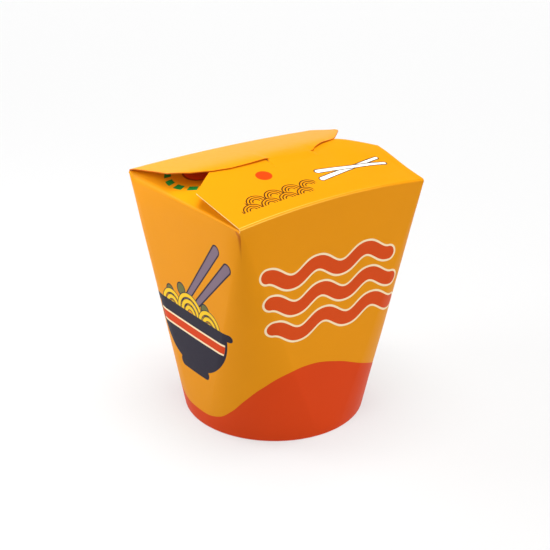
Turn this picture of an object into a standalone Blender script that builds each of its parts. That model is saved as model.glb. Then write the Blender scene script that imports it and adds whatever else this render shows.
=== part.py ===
"""A shut takeaway box for noodles, square at the rim and round at the base.

The box is one folded card blank: four walls that run from a rectangular rim to a round
foot, two short side flaps, and a front and a back flap that meet in a low vault over
them, the back one tucked into a slit in the front one. A disc closes the base, a little
way up inside the foot. The pack is shut, so it is solid under its skin.

Origin at the centre of the foot on the floor, +X to the right along the front, +Y to the
back, +Z up. Lengths are in metres.
"""

import math

import bmesh
import bpy
from mathutils import Vector

# Driving dimensions of the walls
RIM_HEIGHT = 0.1100
RIM_WIDTH = 0.0976
RIM_DEPTH = 0.0845
RIM_CORNER_RADIUS = 0.0008
BASE_RADIUS = 0.0414
CARD = 0.0005
SIDE_ARC = math.radians(8)

# The foot: the wall is turned in and up to a hem, and the base disc sits above it
HEM_WIDTH = 0.0016
HEM_HEIGHT = 0.0060
HEM_ROUND = 0.0005
DISC_THICKNESS = 0.0006
FIT_GAP = 0.0003

# The vault that the front and back flaps make together
FRONT_SLOPE = math.tan(math.radians(10))
BACK_SLOPE = math.tan(math.radians(12))
FRONT_BOW = 0.0030
BACK_BOW = 0.0013
RIDGE_SOFTNESS = 0.0012
CORNER_DROP = 0.0018
CORNER_DROP_REACH = 0.012
EAVES_INSET = 0.0005

# Plan of the flaps' free edges, as (x, y) from the box's axis
FRONT_FLAP_CORNER = (0.0485, -0.0112)
FRONT_CHAMFER_SLOPE = 0.787
BACK_EDGE_LEFT = (
    (-0.0476, 0.0124),
    (-0.0416, 0.0039),
    (-0.0338, -0.0010),
    (-0.0240, -0.0036),
    (-0.0080, -0.0040),
)
BACK_EDGE_RIGHT = (
    (0.0172, -0.0046),
    (0.0217, -0.0022),
    (0.0262, -0.0005),
    (0.0334, 0.0008),
    (0.0476, 0.0132),
)
NOTCH_OVERCUT = 0.0003
NECK_RAMP = 0.0025
NECK_REACH = 0.0060
NECK_RISE = 1.15 * CARD
CREASE_REACH = 0.0050

# The side flaps, which show in the gaps at both ends of the vault
SIDE_CREASE_DIP = 0.0009
SIDE_CREASE_SAG = 0.0027
SIDE_FLAP_LEVEL = 0.0008
SIDE_FLAP_ROUND = 0.0030
SIDE_FLAP_SLOPE = math.tan(math.radians(3))
SIDE_FLAP_REACH = 0.0320

# Materials
PRINTED_COLOUR = (0.83, 0.38, 0.02)
PRINTED_ROUGHNESS = 0.45
BARE_COLOUR = (0.80, 0.74, 0.62)
BARE_ROUGHNESS = 0.7

# How finely the shapes are divided
SIDE_STEPS = 16
CORNER_STEPS = 10
WALL_LEVELS = (0.02, 0.08, 0.20, 0.35, 0.50, 0.65, 0.80, 0.90, 0.96, 1.0)
ROOF_RINGS = (0.97, 0.90, 0.80, 0.68, 0.55, 0.42, 0.28, 0.14)
STEP_COLUMNS = 36
STEP_ROWS = 12
POCKET_COLUMNS = 12
POCKET_ROWS = 14
NOTCH_STEPS = 8
NOTCH_SEARCH = 100
CUTTER_MARGIN = 0.006
CUTTER_TOP = 0.030
DISC_SEGMENTS = 96
SHARP_FROM = math.radians(25)

HALF_WIDTH = RIM_WIDTH / 2
HALF_DEPTH = RIM_DEPTH / 2
FLOOR_TO_VAULT_TOP = RIM_HEIGHT + CUTTER_TOP


def clear_scene():
    """Remove every object, so that only the box is left."""
    for old in list(bpy.data.objects):
        bpy.data.objects.remove(old, do_unlink=True)


def card_material(name, colour, roughness):
    """Return a plain card material."""
    material = bpy.data.materials.new(name)
    material.use_nodes = True
    shader = material.node_tree.nodes["Principled BSDF"]
    shader.inputs["Base Color"].default_value = (*colour, 1.0)
    shader.inputs["Roughness"].default_value = roughness
    shader.inputs["Metallic"].default_value = 0.0
    return material


def add_object(name, mesh_maker, material=None):
    """Turn a bmesh into a linked object of triangles that face out, and return it."""
    mesh = bpy.data.meshes.new(name)
    bmesh.ops.recalc_face_normals(mesh_maker, faces=mesh_maker.faces)
    bmesh.ops.triangulate(mesh_maker, faces=mesh_maker.faces)
    mesh_maker.to_mesh(mesh)
    mesh_maker.free()
    made = bpy.data.objects.new(name, mesh)
    bpy.context.scene.collection.objects.link(made)
    if material:
        mesh.materials.append(material)
    return made


# Heights of the roof

def bow(x):
    """Return 1 at the middle of the box's width and 0 at its sides."""
    return max(1 - (x / HALF_WIDTH) ** 2, 0.0)


def front_plane(x, y):
    """Return the height of the front flap, which rises from its bowed crease."""
    return FRONT_BOW * bow(x) + FRONT_SLOPE * (y + HALF_DEPTH)


def back_plane(x, y):
    """Return the height of the back flap, whose right corner lies a little low."""
    behind = HALF_DEPTH - y
    drop = CORNER_DROP * (x + HALF_WIDTH) / RIM_WIDTH * math.exp(-behind / CORNER_DROP_REACH)
    return BACK_BOW * bow(x) + BACK_SLOPE * behind - drop


def vault(x, y):
    """Return the height of the vault: the lower of both flaps, rounded where they meet."""
    front, back = front_plane(x, y), back_plane(x, y)
    lower, upper = min(front, back), max(front, back)
    rounding = RIDGE_SOFTNESS * math.log1p(math.exp((lower - upper) / RIDGE_SOFTNESS))
    return RIM_HEIGHT + lower - rounding


def smooth_step(value):
    """Return 0 below 0, 1 above 1 and an eased value between."""
    value = min(max(value, 0.0), 1.0)
    return value * value * (3 - 2 * value)


def follow(points, x):
    """Return the y of an outline at x, straight between its points and level past its ends."""
    if x <= points[0][0]:
        return points[0][1]
    for (x0, y0), (x1, y1) in zip(points, points[1:]):
        if x <= x1:
            return y0 + (y1 - y0) * (x - x0) / (x1 - x0)
    return points[-1][1]


def back_edge(x):
    """Return the y of the back flap's free edge, straight across its tongue between both shoulders."""
    return follow(BACK_EDGE_LEFT + BACK_EDGE_RIGHT, x)


def front_edge(x):
    """Return the y of the front flap's cut-off corners."""
    corner_x, corner_y = FRONT_FLAP_CORNER
    return corner_y + FRONT_CHAMFER_SLOPE * max(corner_x - abs(x), 0.0)


def back_flap_top(x, y):
    """Return the height of the back flap's face: one card over the vault, but none at its crease."""
    return vault(x, y) + CARD * smooth_step((HALF_DEPTH - y) / CREASE_REACH)


def front_flap_top(x, y):
    """Return the height of the front flap's face, which meets the back flap's where the tongue dives in."""
    past_left = (x - BACK_EDGE_LEFT[-1][0]) / NECK_RAMP
    past_right = (BACK_EDGE_RIGHT[0][0] - x) / NECK_RAMP
    near_slit = smooth_step(1 + (y - back_edge(x)) / NECK_REACH)
    return vault(x, y) + NECK_RISE * smooth_step(past_left) * smooth_step(past_right) * near_slit


def side_flap(x, y):
    """Return the height of a side flap, which rolls over its crease and stays under the vault."""
    inwards = max(HALF_WIDTH - abs(x), 0.0)
    to_the_back = (y + HALF_DEPTH) / RIM_DEPTH
    crease_dip = SIDE_CREASE_DIP + SIDE_CREASE_SAG * to_the_back**2
    roll = (crease_dip - SIDE_FLAP_LEVEL) * math.exp(-inwards / SIDE_FLAP_ROUND)
    level = RIM_HEIGHT - SIDE_FLAP_LEVEL - roll - SIDE_FLAP_SLOPE * inwards
    return min(level, vault(x, y) - CARD - FIT_GAP)


# The carton's outside

def perimeter():
    """Return (base angle, rim x, rim y) round the box, each side's points closer towards its corners."""
    spots = []
    reach = (HALF_WIDTH, HALF_DEPTH)
    for quarter in range(4):
        facing = quarter * math.pi / 2
        outward = Vector((round(math.cos(facing)), round(math.sin(facing))))
        along = Vector((-outward.y, outward.x))
        out_to, half = reach[quarter % 2], reach[(quarter + 1) % 2] - RIM_CORNER_RADIUS
        for step in range(SIDE_STEPS + 1):
            share = math.sin(math.pi * (step / SIDE_STEPS - 0.5))
            spot = outward * out_to + along * half * share
            spots.append((facing + SIDE_ARC * share, spot.x, spot.y))
        centre = outward * (out_to - RIM_CORNER_RADIUS) + along * half
        for step in range(1, CORNER_STEPS):
            share = step / CORNER_STEPS
            turned = facing + share * math.pi / 2
            spot = centre + RIM_CORNER_RADIUS * Vector((math.cos(turned), math.sin(turned)))
            base_angle = facing + SIDE_ARC + share * (math.pi / 2 - 2 * SIDE_ARC)
            spots.append((base_angle, spot.x, spot.y))
    return spots


def crease_height(x, y):
    """Return the height of the rim, bowed along the front and the back."""
    to_the_back = (y + HALF_DEPTH) / RIM_DEPTH
    front, back = front_plane(x, -HALF_DEPTH), back_plane(x, HALF_DEPTH)
    return RIM_HEIGHT + front + (back - front) * to_the_back


def wall_point(spot, level):
    """Return a point of the wall, on the straight line from the foot to the rim."""
    base_angle, rim_x, rim_y = spot
    foot = Vector((BASE_RADIUS * math.cos(base_angle), BASE_RADIUS * math.sin(base_angle), 0.0))
    rim = Vector((rim_x, rim_y, crease_height(rim_x, rim_y)))
    return foot.lerp(rim, level)


def roof_point(spot, inset_share):
    """Return a point of the roof on the way from the rim to the box's axis."""
    _, rim_x, rim_y = spot
    x = rim_x * (1 - EAVES_INSET / HALF_WIDTH) * inset_share
    y = rim_y * (1 - EAVES_INSET / HALF_DEPTH) * inset_share
    return Vector((x, y, back_flap_top(x, y)))


def ring_at(mesh_maker, points):
    """Add a closed ring of corners and return them."""
    return [mesh_maker.verts.new(point) for point in points]


def skin_between(mesh_maker, lower, upper):
    """Join two rings of equally many corners with a band of quads."""
    for quad in zip(lower, lower[1:] + lower[:1], upper[1:] + upper[:1], upper):
        mesh_maker.faces.new(quad)


def round_foot_points(radius, height, spots):
    """Return a ring of the foot with the walls' angles."""
    return [Vector((radius * math.cos(angle), radius * math.sin(angle), height)) for angle, _, _ in spots]


def carton_outside():
    """Return a bmesh of the whole outside: recess, hem, walls and vault."""
    made = bmesh.new()
    spots = perimeter()
    hem_radius = BASE_RADIUS - HEM_WIDTH
    ceiling = HEM_HEIGHT + DISC_THICKNESS + FIT_GAP
    rings = [
        round_foot_points(hem_radius, ceiling, spots),
        round_foot_points(hem_radius, 0.0, spots),
        round_foot_points(BASE_RADIUS - HEM_ROUND, 0.0, spots),
        [wall_point(spot, HEM_ROUND / RIM_HEIGHT) for spot in spots],
    ]
    rings += [[wall_point(spot, level) for spot in spots] for level in WALL_LEVELS]
    rings += [[roof_point(spot, share) for spot in spots] for share in (1.0, *ROOF_RINGS)]
    corners = [ring_at(made, points) for points in rings]
    for lower, upper in zip(corners, corners[1:]):
        skin_between(made, lower, upper)
    made.faces.new(corners[0])
    summit = made.verts.new((0.0, 0.0, back_flap_top(0.0, 0.0)))
    last = corners[-1]
    for a, b in zip(last, last[1:] + last[:1]):
        made.faces.new((a, b, summit))
    return made


# Cutters

def even_stations(start, end, count):
    """Return count + 1 evenly spaced x values, lowest first."""
    low, high = min(start, end), max(start, end)
    return [low + (high - low) * step / count for step in range(count + 1)]


def curtain(stations, rows, near, far, floor, ceiling):
    """Return a bmesh with a column at each station, from near(x) to far(x), between two surfaces."""
    made = bmesh.new()
    columns = len(stations) - 1
    bmesh.ops.create_grid(made, x_segments=columns, y_segments=rows, size=0.5)
    for corner in made.verts:
        x = stations[round((corner.co.x + 0.5) * columns)]
        y = near(x) + (far(x) - near(x)) * (corner.co.y + 0.5)
        corner.co = (x, y, floor(x, y))
    raised = bmesh.ops.extrude_face_region(made, geom=made.faces[:], use_keep_orig=True)
    for corner in [part for part in raised["geom"] if isinstance(part, bmesh.types.BMVert)]:
        corner.co.z = ceiling(corner.co.x, corner.co.y)
    return made


def add_cutter(target, name, mesh_maker):
    """Cut a bmesh out of an object and hide the cutter."""
    cutter = add_object(name, mesh_maker)
    cutter.hide_render = True
    cutter.display_type = "WIRE"
    cut = target.modifiers.new(name, "BOOLEAN")
    cut.operation = "DIFFERENCE"
    cut.solver = "EXACT"
    cut.object = cutter


def above_everything(_x, _y):
    """Return a height over the vault's top."""
    return FLOOR_TO_VAULT_TOP


def step_cutter():
    """Return what lies over the front flap, up to the back flap's free edge."""
    reach = HALF_WIDTH + CUTTER_MARGIN
    corners = {x for x, _ in BACK_EDGE_LEFT + BACK_EDGE_RIGHT}
    stations = sorted(corners | set(even_stations(-reach, reach, STEP_COLUMNS)))
    front = -HALF_DEPTH - CUTTER_MARGIN
    return curtain(stations, STEP_ROWS, lambda _x: front, back_edge, front_flap_top, above_everything)


def pocket_cutter(side):
    """Return the space between a side flap and the undersides of the big flaps."""
    outer = side * (HALF_WIDTH + CUTTER_MARGIN)
    inner = side * (HALF_WIDTH - SIDE_FLAP_REACH)
    wall = HALF_DEPTH - 2 * CARD
    return curtain(
        even_stations(inner, outer, POCKET_COLUMNS),
        POCKET_ROWS,
        lambda _x: -wall,
        lambda _x: wall,
        side_flap,
        lambda x, y: vault(x, y) - CARD,
    )


def notch_cutter(side):
    """Return the corner that neither big flap covers, a little past the back flap's edge."""
    outer = side * (HALF_WIDTH + CUTTER_MARGIN)
    inwards = [side * (HALF_WIDTH - step) for step in even_stations(0.0, SIDE_FLAP_REACH, NOTCH_SEARCH)]
    inner = next(x for x in inwards if front_edge(x) > back_edge(x) - CARD)
    return curtain(
        even_stations(inner, outer, NOTCH_STEPS),
        NOTCH_STEPS,
        front_edge,
        lambda x: back_edge(x) + NOTCH_OVERCUT,
        lambda x, y: (side_flap(x, y) + vault(x, y)) / 2,
        above_everything,
    )


# The two pieces

def make_carton():
    """Build the folded card blank as one solid."""
    card = card_material("PrintedCard", PRINTED_COLOUR, PRINTED_ROUGHNESS)
    carton = add_object("carton", carton_outside(), card)
    add_cutter(carton, "front_flap_step", step_cutter())
    for side, word in ((-1, "left"), (1, "right")):
        add_cutter(carton, f"{word}_pocket", pocket_cutter(side))
        add_cutter(carton, f"{word}_notch", notch_cutter(side))
    carton.data.shade_smooth()
    carton.data.set_sharp_from_angle(angle=SHARP_FROM)
    return carton


def make_base_disc():
    """Build the disc that closes the base, clear of the hem all round."""
    made = bmesh.new()
    bmesh.ops.create_circle(
        made, cap_ends=True, segments=DISC_SEGMENTS, radius=BASE_RADIUS - HEM_WIDTH - FIT_GAP
    )
    raised = bmesh.ops.extrude_face_region(made, geom=made.faces[:], use_keep_orig=True)
    upper = [part for part in raised["geom"] if isinstance(part, bmesh.types.BMVert)]
    bmesh.ops.translate(made, verts=upper, vec=(0.0, 0.0, DISC_THICKNESS))
    bmesh.ops.translate(made, verts=made.verts, vec=(0.0, 0.0, HEM_HEIGHT))
    disc = add_object("base_disc", made, card_material("BareCard", BARE_COLOUR, BARE_ROUGHNESS))
    disc.data.set_sharp_from_angle(angle=SHARP_FROM)
    return disc


def main():
    """Build the box."""
    clear_scene()
    make_carton()
    make_base_disc()


main()
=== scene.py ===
"""Looks of a shut takeaway box for noodles, rectangular at the rim and round at the foot."""

import logging
import math
from abc import ABC, abstractmethod
from collections.abc import Callable, Sequence
from dataclasses import dataclass
from enum import Enum

import bmesh
import bpy
from bmesh.types import BMesh
from bpy.types import Material, NodeSocket, NodeTree, Object
from mathutils import Euler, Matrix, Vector, noise


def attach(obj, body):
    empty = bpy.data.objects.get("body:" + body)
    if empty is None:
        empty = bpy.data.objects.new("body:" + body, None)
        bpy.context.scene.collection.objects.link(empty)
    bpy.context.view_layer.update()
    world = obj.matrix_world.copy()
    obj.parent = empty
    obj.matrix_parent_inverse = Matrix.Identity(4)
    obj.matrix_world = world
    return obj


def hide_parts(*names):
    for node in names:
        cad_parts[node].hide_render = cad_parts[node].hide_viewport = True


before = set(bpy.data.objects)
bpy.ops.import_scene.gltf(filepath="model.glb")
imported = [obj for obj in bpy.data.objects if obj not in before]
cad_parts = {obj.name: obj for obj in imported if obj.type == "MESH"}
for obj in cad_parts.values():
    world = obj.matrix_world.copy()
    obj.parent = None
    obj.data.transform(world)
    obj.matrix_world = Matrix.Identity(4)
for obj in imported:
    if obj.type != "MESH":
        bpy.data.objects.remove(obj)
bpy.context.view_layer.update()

log = logging.getLogger("noodle_box")

MM = 0.001
PRINT_MAP = "print"
WRAP_MAP = "wrap"
WALL_PANELS = 4
SHEET_SHARE = 0.9
SHARP_EDGE = math.radians(38)

Colour = tuple[float, float, float, float]
Spot = tuple[float, float]


class Panel(Enum):
    """The four walls, numbered from the right one against the clock as seen from above."""

    RIGHT = 0
    BACK = 1
    LEFT = 2
    FRONT = 3


class Side(Enum):
    """The two ends of the box, with the sign of their x."""

    LEFT = -1
    RIGHT = 1


class Ink(Enum):
    """The inks and boards, as sRGB bytes."""

    ORANGE = (236, 151, 8)
    # worn ink and painted highlight along the front flap's double score
    SCORE_WEAR_AND_HIGHLIGHT = (255, 204, 84)
    DEEP_RED = (222, 68, 12)
    LETTER_RED = (220, 77, 20)
    SHADE_BROWN = (150, 52, 14)
    # painted shade beside the walls' front left corner
    PAINTED_CORNER_SHADE = (200, 106, 6)
    CREAM = (255, 232, 190)
    NAVY = (46, 42, 56)
    BROWN = (72, 38, 16)
    YELLOW = (252, 206, 40)
    OLIVE = (112, 112, 62)
    GREEN = (24, 128, 52)
    VIOLET_GREY = (132, 112, 128)
    WHITE = (250, 246, 238)
    RAW_CARD = (250, 214, 142)
    # the back flap's cut edge: ink on the edge, darkened as painted shade of the thin shadow line under it
    INKED_EDGE_AND_SHADE = (214, 112, 30)
    BARE_BOARD = (236, 228, 210)
    FLOOR = (140, 140, 140)

    def linear(self) -> Colour:
        """Return the colour as linear RGBA.

        Returns:
            The four numbers.
        """
        shares = [byte / 255 for byte in self.value]
        low, power = 0.04045, 2.4
        red, green, blue = (c / 12.92 if c <= low else ((c + 0.055) / 1.055) ** power for c in shares)
        return red, green, blue, 1.0


def smooth_step(value: float) -> float:
    """Return 0 below 0, 1 above 1 and an eased value between."""
    value = min(max(value, 0.0), 1.0)
    return value * value * (3 - 2 * value)


def mix(start: float, end: float, share: float) -> float:
    """Return the number that lies a share of the way from start to end."""
    return start + (end - start) * share


def stations(start: float, end: float, count: int) -> list[float]:
    """Return count + 1 evenly spaced numbers."""
    return [mix(start, end, step / count) for step in range(count + 1)]


def follow(points: Sequence[Spot], at: float) -> float:
    """Return the height of an outline, straight between its points and level past its ends.

    Args:
        points: The outline's points, lowest first coordinate first.
        at: Where to read it.

    Returns:
        The outline's second coordinate there.
    """
    if at <= points[0][0]:
        return points[0][1]
    for (x0, y0), (x1, y1) in zip(points, points[1:]):
        if at <= x1:
            return mix(y0, y1, (at - x0) / (x1 - x0))
    return points[-1][1]


@dataclass(frozen=True)
class BoxForm:
    """The box's driving sizes in metres and the heights of its folded lid."""

    rim_height: float = 0.1100
    half_width: float = 0.0488
    half_depth: float = 0.04225
    rim_corner: float = 0.0008
    base_radius: float = 0.0414
    card: float = 0.0005
    side_arc: float = math.radians(8)
    front_slope: float = math.radians(10)
    back_slope: float = math.radians(12)
    front_bow: float = 0.0030
    back_bow: float = 0.0013
    ridge_softness: float = 0.0012
    corner_drop: float = 0.0018
    corner_drop_reach: float = 0.012
    crease_reach: float = 0.0050
    side_fold_radius: tuple[float, float] = (0.0008, 0.0045)
    side_dip: float = 0.0009
    side_sag: float = 0.0027
    side_level: float = 0.0008
    side_round: float = 0.0030
    side_slope: float = math.radians(-14)
    side_settle: float = 0.0040
    flap_gap: float = 0.0003
    slit: tuple[float, float] = (-0.0080, 0.0164)
    neck_ramp: float = 0.0025
    neck_reach: float = 0.0060
    neck_rise: float = 0.000575

    def bow(self, x: float) -> float:
        """Return 1 at the middle of the width and 0 at the sides."""
        return max(1 - (x / self.half_width) ** 2, 0.0)

    def front_plane(self, x: float, y: float) -> float:
        """Return the front flap's height over the rim."""
        return self.front_bow * self.bow(x) + math.tan(self.front_slope) * (y + self.half_depth)

    def back_plane(self, x: float, y: float) -> float:
        """Return the back flap's height over the rim, a little low at the right corner.

        Args:
            x: The place across the box.
            y: The place from its front to its back.

        Returns:
            The height.
        """
        behind = self.half_depth - y
        to_right = (x + self.half_width) / (2 * self.half_width)
        drop = self.corner_drop * to_right * math.exp(-behind / self.corner_drop_reach)
        return self.back_bow * self.bow(x) + math.tan(self.back_slope) * behind - drop

    def vault(self, x: float, y: float) -> float:
        """Return the lid's height: the lower of both flaps, rounded where they meet.

        Args:
            x: The place across the box.
            y: The place from its front to its back.

        Returns:
            The height.
        """
        front, back = self.front_plane(x, y), self.back_plane(x, y)
        lower, upper = min(front, back), max(front, back)
        soft = self.ridge_softness
        return self.rim_height + lower - soft * math.log1p(math.exp((lower - upper) / soft))

    def side_crease(self, x: float, y: float) -> float:
        """Return the height of the side crease on x's side, which sags towards the back and ends at the corner.

        Args:
            x: The place across the box.
            y: The place from its front to its back.

        Returns:
            The height.
        """
        to_the_back = (y + self.half_depth) / (2 * self.half_depth)
        free = self.off_corner(y)
        corner = self.corner_drop * (1 - free) if x > 0 else 0.0
        return self.rim_height - self.side_dip - self.side_sag * to_the_back**2 * free - corner

    def off_corner(self, y: float) -> float:
        """Return 0 at the rear corner and 1 a little in front of it."""
        return smooth_step((self.half_depth - self.rim_corner - y) / self.side_settle)

    def side_flap(self, x: float, y: float) -> float:
        """Return the height of a side flap, which rolls over its crease and stays under the lid.

        Args:
            x: The place across the box.
            y: The place from its front to its back.

        Returns:
            The height.
        """
        inwards = max(self.half_width - abs(x), 0.0)
        dip = self.rim_height - self.side_crease(x, y)
        roll = (dip - self.side_level) * math.exp(-inwards / self.side_round)
        level = self.rim_height - self.side_level - roll - math.tan(self.side_slope) * inwards
        return min(level, self.vault(x, y) - self.card - self.flap_gap)


FORM = BoxForm()


@dataclass(frozen=True)
class FlapOutline:
    """The free edges of the lid's two big flaps, in plan, in metres."""

    front_corner: Spot = (0.0485, -0.0112)
    chamfer_slope: float = 0.787
    tuck_under: float = 0.0030
    left: tuple[Spot, ...] = (
        (-0.0476, 0.0124), (-0.0416, 0.0038), (-0.0338, -0.0010), (-0.0259, -0.0034),
        (-0.0209, -0.0038), (-0.0159, -0.0041), (-0.0080, -0.0041),
    )
    right: tuple[Spot, ...] = (
        (0.0164, -0.0056), (0.0179, -0.0042), (0.0202, -0.0028), (0.0225, -0.0017), (0.0249, -0.0008),
        (0.0276, -0.0004), (0.0301, -0.0002), (0.0322, 0.0003), (0.0345, 0.0019), (0.0390, 0.0063),
        (0.0452, 0.0130), (0.0464, 0.0145), (0.0472, 0.0161), (0.0476, 0.0182),
    )
    hook_wide: float = 0.0004
    hook_end: float = -0.0059

    def back_flap(self, x: float) -> float:
        """Return the y of the back flap's free edge."""
        return follow(self.left + self.right, x)

    def front_flap(self, x: float) -> float:
        """Return the y of the front flap's far edge, which stops at the slit and else tucks under.

        Args:
            x: The place across the box.

        Returns:
            The edge's y.
        """
        corner_x, corner_y = self.front_corner
        chamfer = corner_y + self.chamfer_slope * max(corner_x - abs(x), 0.0)
        slit_left, slit_right = FORM.slit
        end = self.back_flap(x) if slit_left < x < slit_right else self.tuck_under
        if slit_left < x < slit_left + self.hook_wide:
            end = self.hook_end
        return min(chamfer, end)


OUTLINE = FlapOutline()


@dataclass(frozen=True)
class Fold:
    """A crease of two small bends, with a narrow flat between them or none."""

    radius: float
    flat: float = 0.0
    bend_share: float = 3 / 7

    def path(self, slope: float, share: float) -> Spot:
        """Return a point of the crease's outside.

        Args:
            slope: How steeply the flap leaves it.
            share: 0 on the wall and 1 on the flap.

        Returns:
            The distance inwards from the wall and the rise over the crease's start.
        """
        half = (math.pi / 2 - slope) / 2
        first = half * min(share / self.bend_share, 1.0)
        second = half * max((share - 1 + self.bend_share) / self.bend_share, 0.0)
        flat = self.flat * min(max((share - self.bend_share) / (1 - 2 * self.bend_share), 0.0), 1.0)
        inwards = self.radius * (1 - math.cos(first) + math.cos(half) - math.cos(half + second))
        rise = self.radius * (math.sin(first) + math.sin(half + second) - math.sin(half))
        return inwards + flat * math.sin(half), rise + flat * math.cos(half)

    def drop(self, slope: float) -> float:
        """Return how far below a sharp crease this one starts on the wall."""
        inwards, rise = self.path(slope, 1.0)
        return rise - math.tan(slope) * inwards


FRONT_FOLD = Fold(radius=0.0003, flat=0.0008)
BACK_FOLD = Fold(radius=0.0009)


def side_fold(x: float, y: float) -> tuple[Fold, float]:
    """Return the fold of the side flap on x's side and how steeply the flap leaves it, at one place along it.

    Args:
        x: The place across the box.
        y: The place from its front to its back.

    Returns:
        The fold and the flap's slope.
    """
    to_the_back = (y + FORM.half_depth) / (2 * FORM.half_depth)
    tight, loose = FORM.side_fold_radius
    dip = FORM.rim_height - FORM.side_crease(x, y)
    slope = math.atan((dip - FORM.side_level) / FORM.side_round - math.tan(FORM.side_slope))
    return Fold(mix(tight, loose, to_the_back**2 * FORM.off_corner(y))), slope


def feed(tree: NodeTree, socket: NodeSocket, value: NodeSocket | Colour | float) -> None:
    """Link an input to an output, or set it to a constant.

    Args:
        tree: The material's nodes.
        socket: The input.
        value: The output or the constant.
    """
    if isinstance(value, NodeSocket):
        tree.links.new(value, socket)
    else:
        socket.default_value = value


@dataclass
class Field:
    """A number that varies over a surface, made of math nodes, and the output that gives it."""

    tree: NodeTree
    socket: NodeSocket

    def worked(self, operation: str, *others: "Field | float", clamped: bool = False) -> "Field":
        """Return a math node's result.

        Args:
            operation: The node's operation.
            others: The second and third inputs.
            clamped: Whether the result is kept between 0 and 1.

        Returns:
            The result as a field.
        """
        node = self.tree.nodes.new("ShaderNodeMath")
        node.operation, node.use_clamp = operation, clamped
        for socket, value in zip(node.inputs, (self, *others)):
            feed(self.tree, socket, value.socket if isinstance(value, Field) else value)
        return Field(self.tree, node.outputs[0])

    def __add__(self, other: "Field | float") -> "Field":
        """Return the sum."""
        return self.worked("ADD", other)

    def __sub__(self, other: "Field | float") -> "Field":
        """Return the difference."""
        return self.worked("SUBTRACT", other)

    def __mul__(self, other: "Field | float") -> "Field":
        """Return the product."""
        return self.worked("MULTIPLY", other)

    def __neg__(self) -> "Field":
        """Return the field turned negative."""
        return self * -1.0

    def least(self, other: "Field | float") -> "Field":
        """Return the lower of both."""
        return self.worked("MINIMUM", other)

    def most(self, other: "Field | float") -> "Field":
        """Return the higher of both."""
        return self.worked("MAXIMUM", other)

    def size(self) -> "Field":
        """Return the field without its sign."""
        return self.worked("ABSOLUTE")

    def held(self, low: float, high: float) -> "Field":
        """Return the field kept between two numbers."""
        return self.most(low).least(high)

    def repeated(self, pitch: float) -> "Field":
        """Return the field wrapped round every pitch, and centred."""
        return self.worked("WRAP", pitch / 2, -pitch / 2)

    def long_side(self, other: "Field") -> "Field":
        """Return the length of the slope over both, as sides of a right angle."""
        return (self * self + other * other).worked("SQRT")

    def spread(self, middle: float, width: float) -> NodeSocket:
        """Return a noise's output, spread over a width round a middle."""
        return self.worked("MULTIPLY_ADD", width, middle - width / 2).socket

    def ramp(self, rise: float, start: float) -> "Field":
        """Return a straight line over the field, kept between 0 and 1."""
        return self.worked("MULTIPLY_ADD", rise, start, clamped=True)

    def covers(self, soft: float = 0.10) -> "Field":
        """Return 1 inside a shape and 0 outside, from its distance field, with a printed edge as wide as soft."""
        return self.ramp(-1 / soft, 0.5)


@dataclass
class Drawing:
    """Flat shapes on a pair of coordinates in millimetres, as distance fields."""

    x: Field
    y: Field

    def disc(self, centre: Spot, radius: float) -> Field:
        """Return a disc."""
        return (self.x - centre[0]).long_side(self.y - centre[1]) - radius

    def ring(self, centre: Spot, radius: float, half_line: float) -> Field:
        """Return a ring of a line's width."""
        return self.disc(centre, radius).size() - half_line

    def bar(self, start: Spot, end: Spot, radius: float, taper: float = 0.0) -> Field:
        """Return a bar with round ends.

        Args:
            start: The middle of its first end.
            end: The middle of its last end.
            radius: Half its width at the first end.
            taper: How much thinner it is at the last end.

        Returns:
            The distance from its edge, negative inside.
        """
        run = Vector(end) - Vector(start)
        way = run.normalized()
        across, up = self.x - start[0], self.y - start[1]
        along = (across * way.x + up * way.y).held(0.0, run.length)
        off = (across - along * way.x).long_side(up - along * way.y)
        return off + along * (taper / run.length) - radius

    def band(self, low: float, high: float) -> Field:
        """Return everything between two heights."""
        return (self.y - (low + high) / 2).size() - (high - low) / 2

    def strand(self, start: Spot, length: float, wave: Spot, radius: float) -> Field:
        """Return a noodle that waves along x and has round ends, best on a crest or in a trough.

        Args:
            start: Where its centreline starts.
            length: How far it runs along x.
            wave: Its wave's height and length.
            radius: Half its width.

        Returns:
            The distance from its edge, negative inside.
        """
        height, pitch = wave
        turns = math.tau / pitch
        along = (self.x - start[0]).held(0.0, length)
        swing = (along * turns).worked("COSINE") * height
        steep = (along * turns).worked("SINE") * (height * turns)
        lean = (steep * steep + 1.0).worked("INVERSE_SQRT")
        past = self.x - start[0] - along
        off = (self.y - start[1] - swing) * lean
        return off.long_side(past) - radius


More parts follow.
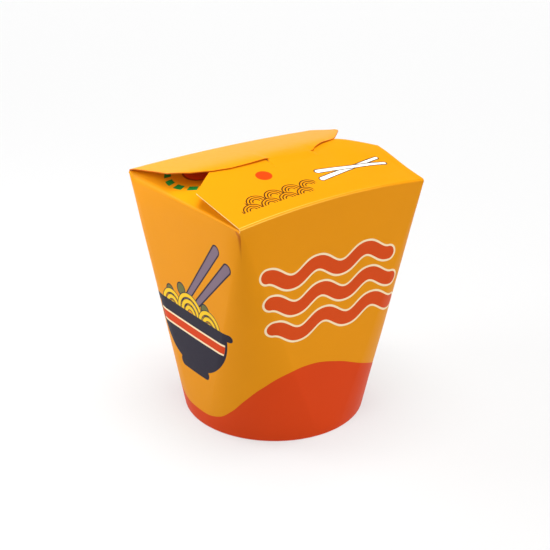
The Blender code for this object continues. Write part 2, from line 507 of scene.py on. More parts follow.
@dataclass
class Painter:
    """Lays inks over each other in a material's nodes, from one even ground on."""

    tree: NodeTree
    colour: NodeSocket | Colour

    def coordinates(self, uv_map: str) -> tuple[Field, Field]:
        """Return a UV map's two coordinates.

        Args:
            uv_map: The map's name.

        Returns:
            Its first and second coordinate.
        """
        read = self.tree.nodes.new("ShaderNodeUVMap")
        read.uv_map = uv_map
        split = self.tree.nodes.new("ShaderNodeSeparateXYZ")
        feed(self.tree, split.inputs["Vector"], read.outputs["UV"])
        return Field(self.tree, split.outputs["X"]), Field(self.tree, split.outputs["Y"])

    def page(self, uv_map: str) -> Drawing:
        """Return a UV map's coordinates in millimetres."""
        across, up = self.coordinates(uv_map)
        return Drawing(across * (1 / MM), up * (1 / MM))

    def grain(self, scale: float, detail: float = 2.0) -> Field:
        """Return a noise on the piece's own coordinates.

        Args:
            scale: How fine it is.
            detail: How many octaves it has.

        Returns:
            The noise, from 0 to 1.
        """
        place = self.tree.nodes.new("ShaderNodeTexCoord")
        made = self.tree.nodes.new("ShaderNodeTexNoise")
        for name, value in (("Scale", scale), ("Detail", detail), ("Vector", place.outputs["Object"])):
            feed(self.tree, made.inputs[name], value)
        return Field(self.tree, made.outputs["Fac"])

    def lay(self, ink: Ink, cover: Field) -> None:
        """Lay an ink where the cover is 1.

        Args:
            ink: The ink.
            cover: How much of it shows, from 0 to 1.
        """
        node = self.tree.nodes.new("ShaderNodeMix")
        node.data_type = "RGBA"
        under, over = (socket for socket in node.inputs if socket.type == "RGBA")
        feed(self.tree, node.inputs["Factor"], cover.socket)
        feed(self.tree, under, self.colour)
        feed(self.tree, over, ink.linear())
        self.colour = node.outputs["Result"]

    def outlined(self, shape: Field, ink: Ink, edge: Ink, line: float) -> None:
        """Lay a shape with an outline of its own ink.

        Args:
            shape: The shape's distance field.
            ink: What fills it.
            edge: What runs round it.
            line: How wide the outline is.
        """
        self.lay(edge, (shape - line).covers())
        self.lay(ink, shape.covers())


@dataclass(frozen=True)
class CardFinish:
    """A coated board: satin varnish over ink, with fibres and a slight waviness under it."""

    name: str
    ground: Ink
    roughness: float = 0.46
    uneven: float = 0.10
    specular: float = 0.06
    coat: float = 0.04
    coat_roughness: float = 0.34
    fibre_scale: float = 2600.0
    fibre_depth: float = 0.000006
    peel_scale: float = 420.0
    peel_depth: float = 0.000016
    mottle: float = 0.05
    mottle_scale: float = 60.0
    mottle_detail: float = 4.0

    def draw(self, painter: Painter) -> None:
        """Draw the print, of which a plain board has none."""

    def material(self) -> Material:
        """Build the material.

        Returns:
            The material, with its print, mottling, varnish and relief.
        """
        made = bpy.data.materials.new(self.name)
        made.use_nodes = True
        tree = made.node_tree
        shader = tree.nodes["Principled BSDF"]
        painter = Painter(tree, self.ground.linear())
        self.draw(painter)
        for name, value in (
            ("Base Color", self.mottled(painter)),
            ("Roughness", painter.grain(self.peel_scale).spread(self.roughness, self.uneven)),
            ("Specular IOR Level", self.specular),
            ("Coat Weight", self.coat),
            ("Coat Roughness", self.coat_roughness),
            ("Normal", self.relief(painter)),
        ):
            feed(tree, shader.inputs[name], value)
        return made

    def mottled(self, painter: Painter) -> NodeSocket:
        """Return the print's colour, a little mottled.

        Args:
            painter: What has laid the inks.

        Returns:
            The output that gives the colour.
        """
        shade = painter.tree.nodes.new("ShaderNodeHueSaturation")
        worn = painter.grain(self.mottle_scale, self.mottle_detail).spread(1.0, self.mottle)
        feed(painter.tree, shade.inputs["Value"], worn)
        feed(painter.tree, shade.inputs["Color"], painter.colour)
        return shade.outputs["Color"]

    def relief(self, painter: Painter) -> NodeSocket:
        """Return the relief of the varnish's waviness and, over it, of the board's fibres.

        Args:
            painter: Holds the material's nodes.

        Returns:
            The output that gives the bumped normal.
        """
        below = None
        for scale, depth in ((self.peel_scale, self.peel_depth), (self.fibre_scale, self.fibre_depth)):
            bump = painter.tree.nodes.new("ShaderNodeBump")
            bump.inputs["Distance"].default_value = depth
            feed(painter.tree, bump.inputs["Height"], painter.grain(scale).socket)
            if below:
                feed(painter.tree, bump.inputs["Normal"], below)
            below = bump.outputs["Normal"]
        return below


@dataclass(frozen=True)
class WallPrint(CardFinish):
    """The walls' print: a red wave round the foot and a picture on each wall, with painted shade beside the front
    left corner.
    """

    wave: tuple[Spot, ...] = (
        (0.0000, 0.0655), (0.1017, 0.0800), (0.1556, 0.1270), (0.2094, 0.2030), (0.2633, 0.2740),
        (0.3300, 0.3320), (0.4000, 0.3480), (0.5261, 0.3200), (0.6078, 0.2800), (0.7111, 0.2200),
        (0.8100, 0.1450), (0.9000, 0.0820), (1.0000, 0.0655),
    )
    wave_repeats: float = 2.0
    wave_soft: float = 0.0012
    strand_starts: tuple[Spot, ...] = ((-31.0, 58.0), (-33.0, 70.5), (-35.0, 83.0))
    strand_length: float = 65.0
    strand_wave: Spot = (2.7, 26.0)
    strand_radius: float = 3.0
    strand_edge: float = 0.9
    bowl_scale: float = 1.18
    bowl_rim: float = 54.0
    bowl_radius: float = 22.0
    bowl_lip: Spot = (1.0, 1.6)
    bowl_foot: tuple[Spot, Spot, float] = ((-7.0, 32.5), (7.0, 32.5), 2.2)
    stripes: tuple[tuple[Ink, float, float], ...] = ((Ink.CREAM, 45.5, 50.5), (Ink.DEEP_RED, 46.3, 49.7))
    chopsticks: tuple[tuple[Spot, Spot], ...] = (((-4.0, 58.0), (20.0, 88.0)), ((2.0, 58.0), (26.0, 83.0)))
    stick_form: Spot = (0.9, -0.8)
    stick_edge: float = 0.6
    greens: tuple[tuple[Spot, float], ...] = (((-13.0, 60.0), 2.2), ((-5.0, 63.5), 2.4), ((10.0, 60.5), 2.2))
    green_edge: float = 0.5
    curls: tuple[tuple[Spot, float], ...] = (((-12.0, 54.0), 6.0), ((0.0, 55.0), 7.5), ((12.0, 54.0), 6.0))
    curl_turns: int = 3
    curl_pitch: float = 2.4
    curl_line: float = 0.75
    curl_edge: float = 0.35
    # where the painted corner shade lies round the walls, how wide and soft it is, and where it fades out below the
    # rim
    corner_shade_at: float = 2.0401
    corner_shade_half: float = 0.8
    corner_shade_soft: float = 1.0
    corner_shade_foot: float = 92.0
    corner_shade_length: float = 12.0

    def draw(self, painter: Painter) -> None:
        """Draw the wave, the four pictures and the painted shade beside the front left corner.

        Args:
            painter: Lays the inks.
        """
        round_share, level = painter.coordinates(WRAP_MAP)
        curve = painter.tree.nodes.new("ShaderNodeFloatCurve")
        points = curve.mapping.curves[0].points
        points[0].location, points[1].location = self.wave[0], self.wave[-1]
        for spot in self.wave[1:-1]:
            points.new(*spot)
        curve.mapping.update()
        period = (round_share * self.wave_repeats).worked("WRAP", 1.0, 0.0)
        feed(painter.tree, curve.inputs["Value"], period.socket)
        crest = Field(painter.tree, curve.outputs["Value"])
        painter.lay(Ink.DEEP_RED, (level - crest).covers(self.wave_soft))
        across, up = painter.coordinates(PRINT_MAP)
        height = up * (1 / MM)
        # painted shade down the front left corner
        self.paint_corner_shade(across, height, painter)
        self.noodles(Drawing(((across - 1.0).worked("WRAP", 1.0, -1.0)) * (1 / MM), height), painter)
        grown = 1 / self.bowl_scale
        own_height = (height - self.bowl_rim) * grown + self.bowl_rim
        self.bowl(Drawing(across.worked("WRAP", 1.0, -1.0) * (grown / MM), own_height), painter)

    def paint_corner_shade(self, across: Field, height: Field, painter: Painter) -> None:
        """Paint shade on the left wall beside its front corner, strongest near the rim and fading out further down.

        Args:
            across: The coordinate round the walls.
            height: The height in millimetres.
            painter: Lays the inks.
        """
        beside = ((across - self.corner_shade_at) * (1 / MM)).size()
        below_rim = (height - self.corner_shade_foot).ramp(1 / self.corner_shade_length, 0.0)
        painter.lay(Ink.PAINTED_CORNER_SHADE, (beside - self.corner_shade_half).covers(self.corner_shade_soft) * below_rim)

    def noodles(self, page: Drawing, painter: Painter) -> None:
        """Draw three waving noodles.

        Args:
            page: The wall's coordinates.
            painter: Lays the inks.
        """
        form = (self.strand_length, self.strand_wave, self.strand_radius)
        low, middle, high = (page.strand(start, *form) for start in self.strand_starts)
        painter.outlined(low.least(middle).least(high), Ink.LETTER_RED, Ink.CREAM, self.strand_edge)

    def bowl(self, page: Drawing, painter: Painter) -> None:
        """Draw a bowl of noodles with chopsticks.

        Args:
            page: The wall's coordinates.
            painter: Lays the inks.
        """
        for stick in self.chopsticks:
            painter.outlined(page.bar(*stick, *self.stick_form), Ink.VIOLET_GREY, Ink.NAVY, self.stick_edge)
        for green in self.greens:
            painter.outlined(page.disc(*green), Ink.OLIVE, Ink.NAVY, self.green_edge)
        for centre, radius in self.curls:
            for turn in range(self.curl_turns):
                curl = page.ring(centre, radius - turn * self.curl_pitch, self.curl_line)
                painter.outlined(curl, Ink.YELLOW, Ink.NAVY, self.curl_edge)
        rim, radius = self.bowl_rim, self.bowl_radius
        past, thick = self.bowl_lip
        lip = page.bar((-radius - past, rim), (radius + past, rim), thick)
        for part in ((page.y - rim).most(page.disc((0.0, rim), radius)), lip, page.bar(*self.bowl_foot)):
            painter.lay(Ink.NAVY, part.covers())
        for ink, low, high in self.stripes:
            painter.lay(ink, page.band(low, high).most(page.disc((0.0, rim), radius - past)).covers())


@dataclass(frozen=True)
class FrontFlapPrint(CardFinish):
    """The front flap's print: thin wave scales, a red dot and a pair of white chopsticks."""

    dot: tuple[Spot, float] = ((-17.0, 27.5), 3.6)
    chopsticks: tuple[tuple[Spot, Spot], ...] = (((4.0, 14.5), (39.0, 21.0)), ((6.0, 20.5), (40.0, 16.5)))
    stick_form: Spot = (1.25, 0.55)
    stick_edge: float = 0.5
    scale_line: float = 0.28
    scale_pitch: float = 9.0
    scale_radii: tuple[float, ...] = (4.2, 2.9, 1.6)
    scale_middle: float = -23.0
    scale_rows: tuple[float, ...] = (8.0, 12.5)
    # the pale score lines, worn ink and painted highlight: half width, softness, and height over the crease with
    # strength
    score_line: float = 0.15
    score_soft: float = 0.25
    scores: tuple[Spot, ...] = ((0.10, 0.75), (0.76, 1.00))
    fade_start: float = -40.0
    fade_length: float = 75.0

    def draw(self, painter: Painter) -> None:
        """Draw the motifs and, along the double score, pale lines that are worn ink and painted highlights of its
        two ridges.

        Args:
            painter: Lays the inks.
        """
        page = painter.page(PRINT_MAP)
        self.scales(page, painter)
        painter.lay(Ink.DEEP_RED, page.disc(*self.dot).covers())
        for stick in self.chopsticks:
            painter.outlined(page.bar(*stick, *self.stick_form), Ink.WHITE, Ink.BROWN, self.stick_edge)
        # the painted highlight and worn ink of the score fade out towards the right
        fade = (page.x - self.fade_start).ramp(-1 / self.fade_length, 1.0)
        for height, strength in self.scores:
            line = ((page.y - height).size() - self.score_line).covers(self.score_soft)
            painter.lay(Ink.SCORE_WEAR_AND_HIGHLIGHT, line * fade * strength)

    def scales(self, page: Drawing, painter: Painter) -> None:
        """Draw two rows of thin wave scales.

        Args:
            page: The flap's coordinates.
            painter: Lays the inks.
        """
        for row, base in enumerate(self.scale_rows):
            moved = self.scale_pitch / 2 * row
            cell = Drawing((page.x + moved).repeated(self.scale_pitch), page.y - base)
            outer, middle, inner = (cell.ring((0.0, 0.0), radius, self.scale_line) for radius in self.scale_radii)
            upper_half = outer.least(middle).least(inner).most(-cell.y)
            within = upper_half.most((page.x - self.scale_middle - moved).size() - self.scale_pitch * 2)
            painter.lay(Ink.BROWN, within.covers())


@dataclass(frozen=True)
class SideFlapPrint(CardFinish):
    """The side flaps' print: a red disc with short green dashes round it."""

    middle: Spot = (22.0, 13.5)
    disc_radius: float = 9.8
    disc_edge: float = 0.9
    ring_radius: float = 16.8
    dash: Spot = (2.2, 1.5)
    dash_pitch: float = math.radians(24)

    def draw(self, painter: Painter) -> None:
        """Draw the disc and the dashes.

        Args:
            painter: Lays the inks.
        """
        page = painter.page(PRINT_MAP)
        disc = page.disc(self.middle, self.disc_radius)
        painter.outlined(disc, Ink.DEEP_RED, Ink.SHADE_BROWN, self.disc_edge)
        turned = (page.y - self.middle[1]).worked("ARCTAN2", page.x - self.middle[0]).repeated(self.dash_pitch)
        half_long, half_wide = self.dash
        ring = page.ring(self.middle, self.ring_radius, half_wide)
        painter.lay(Ink.GREEN, ring.most(turned.size() * self.ring_radius - half_long).covers())


@dataclass(frozen=True)
class FloorFinish:
    """A plain pale studio floor."""

    name: str = "PaleFloor"
    roughness: float = 0.9
    glow: float = 0.58

    def material(self) -> Material:
        """Return the floor's material.

        Returns:
            The material.
        """
        made = bpy.data.materials.new(self.name)
        made.use_nodes = True
        shader = made.node_tree.nodes["Principled BSDF"]
        shader.inputs["Base Color"].default_value = Ink.FLOOR.linear()
        shader.inputs["Roughness"].default_value = self.roughness
        shader.inputs["Emission Color"].default_value = (1.0, 1.0, 1.0, 1.0)
        shader.inputs["Emission Strength"].default_value = self.glow
        return made


Place = Callable[[float, float], Vector]
PrintAt = Callable[[float, float, Vector], Spot]


def shaped_sheet(
    columns: Sequence[float], rows: Sequence[float], place: Place, maps: dict[str, PrintAt], turn_over: bool = False
) -> BMesh:
    """Bend a grid into a sheet of card, with its prints' coordinates.

    Args:
        columns: The first coordinate of each column.
        rows: The second coordinate of each row.
        place: Gives a grid point's place on the box.
        maps: For each UV map, what gives a grid point's coordinates on it.
        turn_over: Whether the faces are turned over, so that they look out.

    Returns:
        The sheet.
    """
    made = bmesh.new()
    wide, high = len(columns) - 1, len(rows) - 1
    half = 0.5
    bmesh.ops.create_grid(made, x_segments=wide, y_segments=high, size=half)
    spots = {}
    for corner in made.verts:
        column = columns[round((corner.co.x + half) * wide)]
        row = rows[round((corner.co.y + half) * high)]
        corner.co = place(column, row)
        spots[corner] = (column, row)
    for name, read in maps.items():
        layer = made.loops.layers.uv.new(name)
        for face in made.faces:
            for loop in face.loops:
                loop[layer].uv = read(*spots[loop.vert], loop.vert.co)
    if turn_over:
        bmesh.ops.reverse_faces(made, faces=made.faces)
    return made


def stand(name: str, data: bpy.types.ID) -> Object:
    """Put a mesh, a lamp or a camera in the scene as a new object.

    Args:
        name: The object's name.
        data: What it shows.

    Returns:
        The object, at the origin.
    """
    made = bpy.data.objects.new(name, data)
    bpy.context.scene.collection.objects.link(made)
    return made


def card_piece(
    name: str, sheet: BMesh, finish: CardFinish, bare: Material, edge: Material | None
) -> Object:
    """Give a sheet the card's thickness, its finish and its cut edges, and put it on the box.

    Args:
        name: The piece's name.
        sheet: The printed face.
        finish: What the printed face looks like.
        bare: What the inside looks like.
        edge: What the cut edges look like, or None where they carry the print on.

    Returns:
        The piece.
    """
    printed = set(sheet.verts)
    sheet.normal_update()
    bmesh.ops.solidify(sheet, geom=sheet.faces[:], thickness=FORM.card * SHEET_SHARE)
    for face in sheet.faces:
        on_print = sum(corner in printed for corner in face.verts)
        at_edge = 2 if edge else 0
        face.material_index = 1 if on_print == 0 else 0 if on_print == len(face.verts) else at_edge
        face.smooth = True
    mesh = bpy.data.meshes.new(name)
    sheet.to_mesh(mesh)
    sheet.free()
    for material in (finish.material(), bare, edge):
        if material:
            mesh.materials.append(material)
    mesh.set_sharp_from_angle(angle=SHARP_EDGE)
    piece = stand(name, mesh)
    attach(piece, "root")
    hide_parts("carton")
    return piece


@dataclass(frozen=True)
class WallSpot:
    """A place round the walls: its panel, its angle at the foot and its top."""

    panel: Panel
    angle: float
    top: Vector


@dataclass
class Walls:
    """The four walls with the turned-in hem, one sheet wrapped round and glued at the back."""

    side_steps: int = 30
    corner_steps: int = 14
    levels: int = 44
    foot_round: float = 0.0008
    hem: tuple[Spot, ...] = (
        (0.0016, 0.0060), (0.0016, 0.0036), (0.0016, 0.0015), (0.00148, 0.0005),
        (0.0012, 0.0001), (0.0008, 0.0), (0.0004, 0.0001), (0.00012, 0.0004),
    )
    knurl: float = 0.00012
    knurled_rows: int = 3
    flutter: float = 0.00022
    flutter_scale: float = 34.0
    calm_ends: float = 0.12
    lap: float = 0.00045
    lap_at: float = -0.020
    lap_columns: int = 5
    lap_press: tuple[float, ...] = (1.0, 1.0, 1.0, 1.0, 1.0, 1.0, 0.6, 0.25)
    lap_ends: Spot = (0.02, 0.06)
    bulge: float = 0.0006
    bulge_height: float = 0.0060
    bulge_ends: float = 0.006
    dent: float = 0.0015
    dent_top: float = 0.0030
    dent_height: float = 0.0240
    dent_reach: float = 0.0090
    dent_shift: float = 0.0006

    def roll_start(self, panel: Panel, along: float) -> Vector:
        """Return where a wall ends and its flap starts to roll over.

        Args:
            panel: The wall.
            along: Its x, or its y on the left and right.

        Returns:
            The point on the wall's outside.
        """
        if panel is Panel.FRONT:
            fold, slope = FRONT_FOLD, FORM.front_slope
            crease = Vector((along, -FORM.half_depth, FORM.rim_height + FORM.front_plane(along, -FORM.half_depth)))
        elif panel is Panel.BACK:
            fold, slope = BACK_FOLD, FORM.back_slope
            crease = Vector((along, FORM.half_depth, FORM.rim_height + FORM.back_plane(along, FORM.half_depth)))
        else:
            x = FORM.half_width if panel is Panel.RIGHT else -FORM.half_width
            fold, slope = side_fold(x, along)
            crease = Vector((x, along, FORM.side_crease(x, along)))
        return crease - Vector((0, 0, fold.drop(slope)))

    def spots(self) -> list[WallSpot]:
        """Return the places round the walls, from the right one on.

        Returns:
            The places, with each wall's corner after it.
        """
        found = []
        reach = (FORM.half_width, FORM.half_depth)
        for panel in Panel:
            quarter = panel.value
            facing = quarter * math.pi / 2
            outward = Vector((round(math.cos(facing)), round(math.sin(facing))))
            along = Vector((-outward.y, outward.x))
            half = reach[(quarter + 1) % 2] - FORM.rim_corner
            for step in range(self.side_steps + 1):
                share = math.sin(math.pi * (step / self.side_steps - 0.5))
                top = self.roll_start(panel, (along * half * share)[(quarter + 1) % 2])
                found.append(WallSpot(panel, facing + FORM.side_arc * share, top))
            centre = outward * (reach[quarter % 2] - FORM.rim_corner) + along * half
            found += self.corner_spots(panel, centre)
        return found

    def corner_spots(self, panel: Panel, centre: Vector) -> list[WallSpot]:
        """Return the places round the corner after a wall.

        Args:
            panel: The wall.
            centre: The middle of the corner's round, in plan.

        Returns:
            The places between both walls.
        """
        found = []
        quarter = panel.value
        following = Panel((quarter + 1) % WALL_PANELS)
        before = self.roll_start(panel, centre[(quarter + 1) % 2]).z
        after = self.roll_start(following, centre[quarter % 2]).z
        facing = quarter * math.pi / 2
        for step in range(1, self.corner_steps):
            share = step / self.corner_steps
            turned = facing + share * math.pi / 2
            spot = centre + FORM.rim_corner * Vector((math.cos(turned), math.sin(turned)))
            angle = facing + FORM.side_arc + share * (math.pi / 2 - 2 * FORM.side_arc)
            top = Vector((spot.x, spot.y, mix(before, after, share)))
            found.append(WallSpot(panel if share < 0.5 else following, angle, top))
        return found

    def worn(self, spot: WallSpot, below: float) -> Vector:
        """Return how far handling has moved the card near the rim.

        Args:
            spot: The place round the walls.
            below: How far under the wall's top.

        Returns:
            The bulge under a side flap's crease and the dent of the front left corner.
        """
        moved = Vector((0.0, 0.0, 0.0))
        if spot.panel in (Panel.LEFT, Panel.RIGHT):
            near_back = smooth_step((spot.top.y + FORM.half_depth) / (2 * FORM.half_depth))
            swell = (below / self.bulge_height) * math.exp(1 - below / self.bulge_height)
            from_end = smooth_step((FORM.half_depth - abs(spot.top.y)) / self.bulge_ends)
            moved.x = math.copysign(self.bulge * near_back * swell * from_end, spot.top.x)
        from_corner = math.hypot(FORM.half_width + spot.top.x, FORM.half_depth + spot.top.y - self.dent_shift)
        pressed = self.dent * max(1 - from_corner / self.dent_reach, 0.0) ** 2
        pressed *= math.exp(-((below / self.dent_height) ** 2)) * smooth_step(below / self.dent_top)
        return moved - Vector((spot.top.x, spot.top.y, 0.0)).normalized() * pressed

    def point(self, spot: WallSpot, line: int, odd: int, pressed: float) -> Vector:
        """Return a point of the walls or of their hem.

        Args:
            spot: The place round the walls.
            line: Its row, from the hem's inner top on.
            odd: 1 in every second column, where the hem is knurled, else 0.
            pressed: How far the card is pressed in under the glued lap, from 0 to 1.

        Returns:
            The point.
        """
        radial = Vector((math.cos(spot.angle), math.sin(spot.angle), 0.0))
        if line < len(self.hem):
            inwards, height = self.hem[line]
            knurl = self.knurl * odd if line < self.knurled_rows else 0.0
            return radial * (FORM.base_radius - inwards + knurl) + Vector((0, 0, height))
        level = (line - len(self.hem)) / self.levels
        foot = radial * FORM.base_radius + Vector((0, 0, self.foot_round))
        point = foot.lerp(spot.top, level)
        calm = smooth_step(level / self.calm_ends) * smooth_step((1 - level) / self.calm_ends)
        sway = self.flutter * calm * noise.noise(point * self.flutter_scale)
        low, high = self.lap_ends
        under_lap = self.lap * pressed * smooth_step((1 - level) / high) * smooth_step(level / low)
        point += radial * (sway - under_lap) + self.worn(spot, spot.top.z - point.z)
        return Vector((min(max(point.x, -FORM.half_width), FORM.half_width), point.y, point.z))

    def build(self, finish: CardFinish, bare: Material) -> Object:
        """Build the walls.

        Args:
            finish: The walls' print.
            bare: The board of the cut edges and the inside.

        Returns:
            The piece.
        """
        spots = self.spots()
        first = next(i for i, spot in enumerate(spots) if spot.panel is Panel.BACK and spot.top.x < self.lap_at)
        round_trip = spots[first:] + spots[: first + self.lap_columns]
        new_round = len(spots) - first
        new_pictures = next(i for i, spot in enumerate(round_trip) if spot.panel is Panel.RIGHT)
        turns = [spot.angle / math.tau for spot in round_trip]

        def place(column: int, row: int) -> Vector:
            """Return the point of a column and a row."""
            pressed = self.lap_press[column] if column < len(self.lap_press) else 0.0
            return self.point(round_trip[column], row, column % 2, pressed)

        def print_at(column: int, _row: int, point: Vector) -> Spot:
            """Return the wall's number plus the way across it, and the height."""
            number = round_trip[column].panel.value + WALL_PANELS * (column >= new_pictures)
            return number + (point.y, -point.x, -point.y, point.x)[number % WALL_PANELS], point.z

        def wrap_at(column: int, _row: int, point: Vector) -> Spot:
            """Return the share of a turn round the walls, and the share of the rim's height."""
            seen = math.atan2(point.y, point.x) / math.tau
            return seen + (round(turns[column] - seen) + (column >= new_round)), point.z / FORM.rim_height

        columns, rows = range(len(round_trip)), range(len(self.hem) + self.levels + 1)
        sheet = shaped_sheet(columns, rows, place, {PRINT_MAP: print_at, WRAP_MAP: wrap_at})
        return card_piece("walls", sheet, finish, bare, None)


@dataclass
class Flap(ABC):
    """What the four flaps share: a crease that rolls over and a face behind it, bent from one sheet."""

    name: str
    turn_over: bool = False
    columns: int = 120
    roll_steps: int = 7
    face_steps: int = 64

    @abstractmethod
    def stops(self) -> list[float]:
        """Return the columns' places along the crease."""

    @abstractmethod
    def place(self, along: float, row: float) -> Vector:
        """Return the point at a place along the crease and a row from -1 at the wall to 1 at the free edge."""

    @abstractmethod
    def print_at(self, _along: float, _row: float, point: Vector) -> Spot:
        """Return a point's coordinates on the print."""

    def build(self, finish: CardFinish, bare: Material, edge: Material) -> Object:
        """Build the flap.

        Args:
            finish: The flap's print.
            bare: The board of its inside.
            edge: The board of its cut edges.

        Returns:
            The piece.
        """
        rows = stations(-1.0, 0.0, self.roll_steps)[:-1] + stations(0.0, 1.0, self.face_steps)
        sheet = shaped_sheet(self.stops(), rows, self.place, {PRINT_MAP: self.print_at}, self.turn_over)
        return card_piece(self.name, sheet, finish, bare, edge)


@dataclass
class BigFlap(Flap):
    """What the front and the back flap share: a face that follows the lid's vault."""

    wall: float = -FORM.half_depth
    fold: Fold = FRONT_FOLD
    slope: float = FORM.front_slope
    plane: Callable[[float, float], float] = FORM.front_plane
    free_edge: Callable[[float], float] = OUTLINE.front_flap
    end_at_crease: float = 0.0485
    end_at_corner: float = 0.0485

    @abstractmethod
    def top(self, x: float, y: float) -> float:
        """Return the height of the flap's face."""

    def place(self, along: float, row: float) -> Vector:
        """Return a point of the flap.

        Args:
            along: Its x before the flap's ends are tapered.
            row: -1 at the wall, 0 where the roll ends and 1 at the free edge.

        Returns:
            The point.
        """
        x = along * mix(self.end_at_crease / self.end_at_corner, 1.0, smooth_step(row))
        inwards, rise = self.fold.path(self.slope, min(row + 1, 1.0))
        rolled = self.wall - math.copysign(inwards, self.wall)
        if row <= 0:
            crease = FORM.rim_height + self.plane(x, self.wall)
            return Vector((x, rolled, crease - self.fold.drop(self.slope) + rise))
        y = mix(rolled, self.free_edge(along), row)
        return Vector((x, y, self.top(x, y)))

    def print_at(self, _along: float, _row: float, point: Vector) -> Spot:
        """Return a point's x and its way from the wall."""
        return point.x, point.y - self.wall


@dataclass
class FrontFlap(BigFlap):
    """The lid's front flap, with cut-off corners and a slit that takes the back flap's tongue."""

    name: str = "front_flap"
    hair: float = 0.00002
    ear_lift: float = 0.0011
    ear_from: Spot = (0.020, -0.034)
    ear_ramp: Spot = (0.018, 0.020)

    def stops(self) -> list[float]:
        """Return the columns' places, with a close pair of them at each cut.

        Returns:
            The places, from left to right.
        """
        left, right = FORM.slit
        pairs = {cut + side * self.hair for cut in (left, left + OUTLINE.hook_wide, right) for side in (-1, 1)}
        return sorted(pairs | set(stations(-self.end_at_corner, self.end_at_corner, self.columns)))

    def top(self, x: float, y: float) -> float:
        """Return the height of the flap's face, raised where it meets the tongue and at its right end.

        Args:
            x: The place across the box.
            y: The place from its front to its back.

        Returns:
            The height.
        """
        left, right = FORM.slit
        near = smooth_step(1 + (y - OUTLINE.back_flap(x)) / FORM.neck_reach)
        inside = smooth_step((x - left) / FORM.neck_ramp) * smooth_step((right - x) / FORM.neck_ramp)
        ear_x, ear_y = ((at - start) / ramp for at, start, ramp in zip((x, y), self.ear_from, self.ear_ramp))
        ear = self.ear_lift * smooth_step(ear_x) * smooth_step(ear_y)
        return FORM.vault(x, y) + FORM.neck_rise * inside * near + ear


@dataclass
class BackFlap(BigFlap):
    """The lid's back flap, whose shoulders lie on the front flap and whose tongue is tucked in."""

    name: str = "back_flap"
    turn_over: bool = True
    wall: float = FORM.half_depth
    fold: Fold = BACK_FOLD
    slope: float = FORM.back_slope
    plane: Callable[[float, float], float] = FORM.back_plane
    free_edge: Callable[[float], float] = OUTLINE.back_flap
    end_at_crease: float = 0.0483
    end_at_corner: float = 0.0476
    lifts: tuple[Spot, ...] = (
        (-0.0476, 0.00005), (-0.0330, 0.00015), (-0.0180, 0.00022), (-0.0085, 0.00045),
        (-0.0070, 0.0), (0.0154, 0.0), (0.0170, 0.00025), (0.0202, 0.00040),
        (0.0249, 0.00060), (0.0301, 0.00080), (0.0339, 0.00090), (0.0476, 0.00090),
    )
    lift_reach: float = 0.0080

    def stops(self) -> list[float]:
        """Return the columns' places, with one at each corner of the free edge."""
        corners = {x for x, _ in OUTLINE.left + OUTLINE.right}
        return sorted(corners | set(stations(-self.end_at_corner, self.end_at_corner, self.columns)))

    def top(self, x: float, y: float) -> float:
        """Return the height of the flap's face, a card over the vault and lifted at its edge.

        Args:
            x: The place across the box.
            y: The place from its front to its back.

        Returns:
            The height.
        """
        over = FORM.card * smooth_step((FORM.half_depth - y) / FORM.crease_reach)
        lift = follow(self.lifts, x) * math.exp(-(y - OUTLINE.back_flap(x)) / self.lift_reach)
        return FORM.vault(x, y) + over + lift


@dataclass
class SideFlap(Flap):
    """A short flap that folds in from a side wall under the lid."""

    columns: int = 60
    face_steps: int = 40
    side: Side = Side.LEFT
    reach: float = 0.0315
    end_gap: float = 0.0003
    taper: float = 0.12
    taper_from: float = 0.010
    end_rise_reach: float = 0.0035
    end_rise_start: float = 0.0015
    join_reach: float = 0.0025
    end_room: float = 0.0004

    def stops(self) -> list[float]:
        """Return the columns' places along the crease."""
        half = FORM.half_depth - self.end_gap
        return stations(-half, half, self.columns)

    def place(self, along: float, row: float) -> Vector:
        """Return a point of the flap.

        Args:
            along: Its y before the flap's ends are tapered.
            row: -1 at the wall, 0 where the roll ends and 1 at the free edge.

        Returns:
            The point.
        """
        y = along
        wall = self.side.value * FORM.half_width
        fold, slope = side_fold(wall, y)
        inwards, rise = fold.path(slope, min(row + 1, 1.0))
        height = FORM.side_crease(wall, y) - fold.drop(slope) + rise
        if row > 0:
            inwards = mix(inwards, self.reach, row)
            y *= 1 - self.taper * max(inwards - self.taper_from, 0.0) / self.reach
            x = self.side.value * (FORM.half_width - inwards)
            ceiling = FORM.vault(x, y) - FORM.card - self.end_room
            near_end = math.exp(-(FORM.half_depth - y) / self.end_rise_reach)
            raised = near_end * smooth_step(inwards / self.end_rise_start)
            bend_end, _ = fold.path(slope, 1.0)
            step = height - FORM.side_flap(wall - self.side.value * bend_end, y)
            level = min(FORM.side_flap(x, y) + step * math.exp(-(inwards - bend_end) / self.join_reach), ceiling)
            height = mix(level, max(level, min(ceiling, FORM.rim_height - self.end_room)), raised)
        return Vector((self.side.value * (FORM.half_width - inwards), y, height))

    def print_at(self, _along: float, _row: float, point: Vector) -> Spot:
        """Return a point's way from the wall and its y."""
        return FORM.half_width - abs(point.x), point.y


class LampKind(Enum):
    """A soft sun far away, or a square softbox near the box."""

    SUN = "SUN"
    SOFTBOX = "AREA"


@dataclass(frozen=True)
class Lamp:
    """A soft light that shines from its place to its aim, with a sun's spread in degrees or a softbox's side."""

    name: str
    kind: LampKind
    place: tuple[float, float, float]
    power: float
    extent: float
    aim: tuple[float, float, float] = (0.0, 0.0, 0.0)

    def hang(self) -> None:
        """Hang the light where it belongs and turn it to its aim."""
        lamp = bpy.data.lights.new(self.name, self.kind.value)
        lamp.energy = self.power
        if self.kind is LampKind.SUN:
            lamp.angle = math.radians(self.extent)
        else:
            lamp.size = self.extent
        holder = stand(self.name, lamp)
        holder.location = self.place
        holder.rotation_euler = (Vector(self.place) - Vector(self.aim)).to_track_quat("Z", "Y").to_euler()


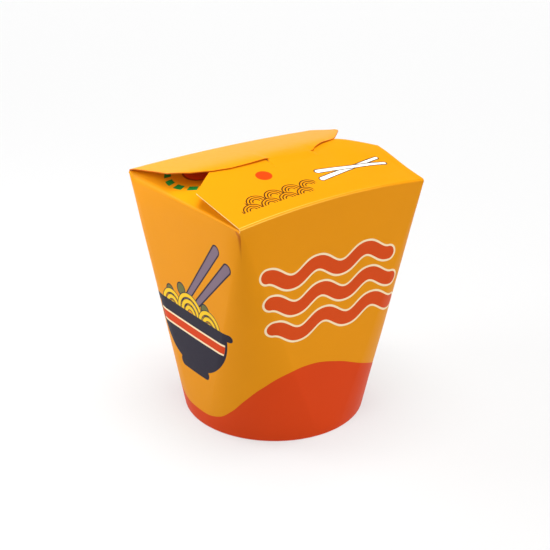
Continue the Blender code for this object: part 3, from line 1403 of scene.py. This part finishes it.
@dataclass
class Studio:
    """The floor, the lights, the world and the camera."""

    floor_size: float = 6.0
    backdrop: tuple[float, float, float, float] = (0.16, 0.28, 0.80, 0.02)
    lamps: tuple[Lamp, ...] = (
        Lamp("key", LampKind.SUN, (-0.02, 0.02, 1.00), 2.78, 40.0),
        Lamp("fill", LampKind.SUN, (0.26, -0.40, 0.87), 1.55, 60.0),
        Lamp("left_softbox", LampKind.SOFTBOX, (-0.21, 0.17, 0.24), 0.51, 0.14, (-0.0488, 0.03, 0.10)),
        Lamp("back_softbox", LampKind.SOFTBOX, (0.75, 1.10, 0.22), 0.9, 0.80, (0.0, 0.0, 0.11)),
    )
    camera_place: tuple[float, float, float] = (-0.32711, -0.43846, 0.31274)
    camera_turn: tuple[float, float, float] = (65.359, -0.406, -36.557)
    lens: float = 87.714
    near_clip: float = 0.01

    def build(self) -> None:
        """Build everything round the box."""
        self.floor()
        self.lights()
        self.camera()

    def floor(self) -> None:
        """Lay a pale floor."""
        made = bmesh.new()
        bmesh.ops.create_grid(made, x_segments=1, y_segments=1, size=self.floor_size / 2)
        mesh = bpy.data.meshes.new("floor")
        made.to_mesh(mesh)
        made.free()
        mesh.materials.append(FloorFinish().material())
        stand("floor", mesh)

    def lights(self) -> None:
        """Set a pale backdrop all round, two soft suns from above, and softboxes at the left and the back."""
        world = bpy.data.worlds.new("studio")
        world.use_nodes = True
        tree = world.node_tree
        tree.nodes["Background"].inputs["Color"].default_value = (1.0, 1.0, 1.0, 1.0)
        toward = tree.nodes.new("ShaderNodeTexCoord")
        split = tree.nodes.new("ShaderNodeSeparateXYZ")
        fade = tree.nodes.new("ShaderNodeMapRange")
        for socket, value in zip(("From Min", "From Max", "To Min", "To Max"), self.backdrop):
            fade.inputs[socket].default_value = value
        tree.links.new(toward.outputs["Generated"], split.inputs["Vector"])
        tree.links.new(split.outputs["Z"], fade.inputs["Value"])
        tree.links.new(fade.outputs["Result"], tree.nodes["Background"].inputs["Strength"])
        bpy.context.scene.world = world
        for lamp in self.lamps:
            lamp.hang()

    def camera(self) -> None:
        """Stand the camera where the photograph was taken from."""
        data = bpy.data.cameras.new("camera")
        data.lens = self.lens
        data.clip_start = self.near_clip
        camera = stand("camera", data)
        camera.location = self.camera_place
        camera.rotation_euler = Euler([math.radians(turn) for turn in self.camera_turn])
        bpy.context.scene.camera = camera
        bpy.context.scene.view_settings.view_transform = "Standard"


def main() -> None:
    """Dress the box and its surroundings."""
    bare = CardFinish("RawCardEdge", Ink.RAW_CARD, roughness=0.8, coat=0.0).material()
    # the back flap's cut edge, darker orange: ink on the edge and painted shade of the shadow line under it
    inked_and_shaded_edge = CardFinish("InkedCardEdgeWithPaintedShade", Ink.INKED_EDGE_AND_SHADE, roughness=0.7, coat=0.0).material()
    board = CardFinish("BareBoard", Ink.BARE_BOARD, roughness=0.6, coat=0.05).material()
    pieces = [
        Walls().build(WallPrint("WallPrint", Ink.ORANGE), bare),
        FrontFlap().build(FrontFlapPrint("FrontFlapPrint", Ink.ORANGE), bare, bare),
        BackFlap().build(CardFinish("PlainOrangeCard", Ink.ORANGE), bare, inked_and_shaded_edge),
    ]
    for side in Side:
        flap = SideFlap(f"{side.name.lower()}_side_flap", turn_over=side is Side.LEFT, side=side)
        pieces.append(flap.build(SideFlapPrint(f"{side.name.title()}FlapPrint", Ink.ORANGE), bare, bare))
    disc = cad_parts["base_disc"]
    disc.data.materials.clear()
    disc.data.materials.append(board)
    for piece in pieces:
        log.info("built %s with %d faces", piece.name, len(piece.data.polygons))
    Studio().build()


if __name__ == "__main__":
    logging.basicConfig(level=logging.INFO)
    main()
